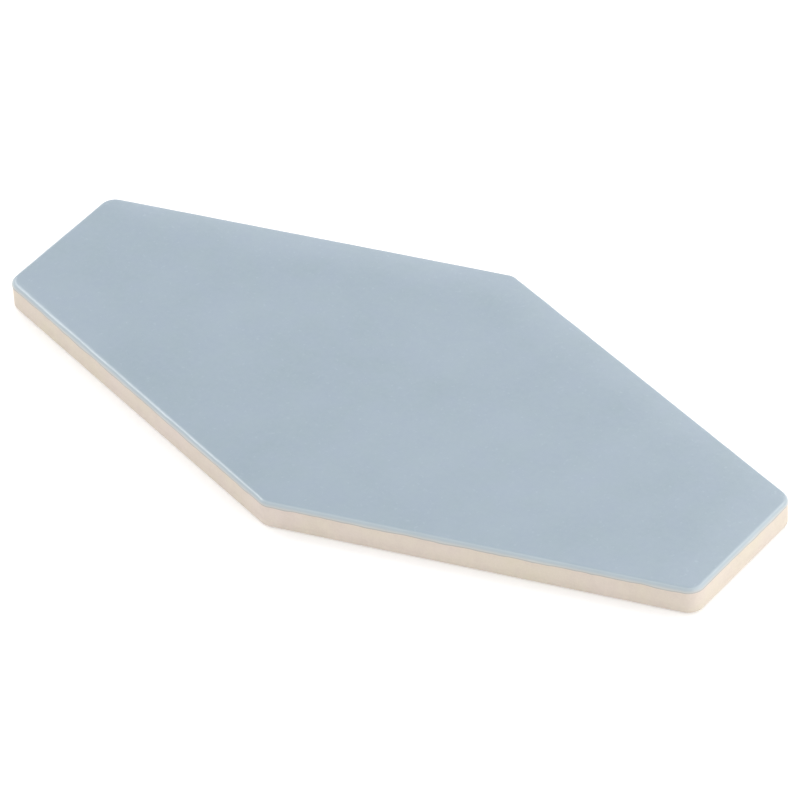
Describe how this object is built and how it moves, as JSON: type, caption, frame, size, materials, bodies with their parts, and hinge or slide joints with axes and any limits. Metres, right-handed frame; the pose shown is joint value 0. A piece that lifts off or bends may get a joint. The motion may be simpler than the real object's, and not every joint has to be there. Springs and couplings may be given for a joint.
{
  "type": "hexagon tile",
  "caption": "Flat elongated-hexagon wall tile with a pale glazed face and a keyed back, laid edge to edge to cover a wall.",
  "frame": {"origin": "centre of the back, on the plane that the tile rests on and is bonded by", "axes": "+X along the tile's length towards one straight end, +Y across it towards one point, +Z out of the glazed face"},
  "size_m": [0.2, 0.0992, 0.0078],
  "materials": {
    "bisque": "bare fired clay, matt, warm cream with a faint pink cast",
    "glaze": "opaque pale grey-blue glaze, satin to glossy, paler where it thins over the arris"
  },
  "bodies": {
    "root": {"bisque_body": "bisque", "glaze_coat": "glaze"}
  },
  "joints": []
}
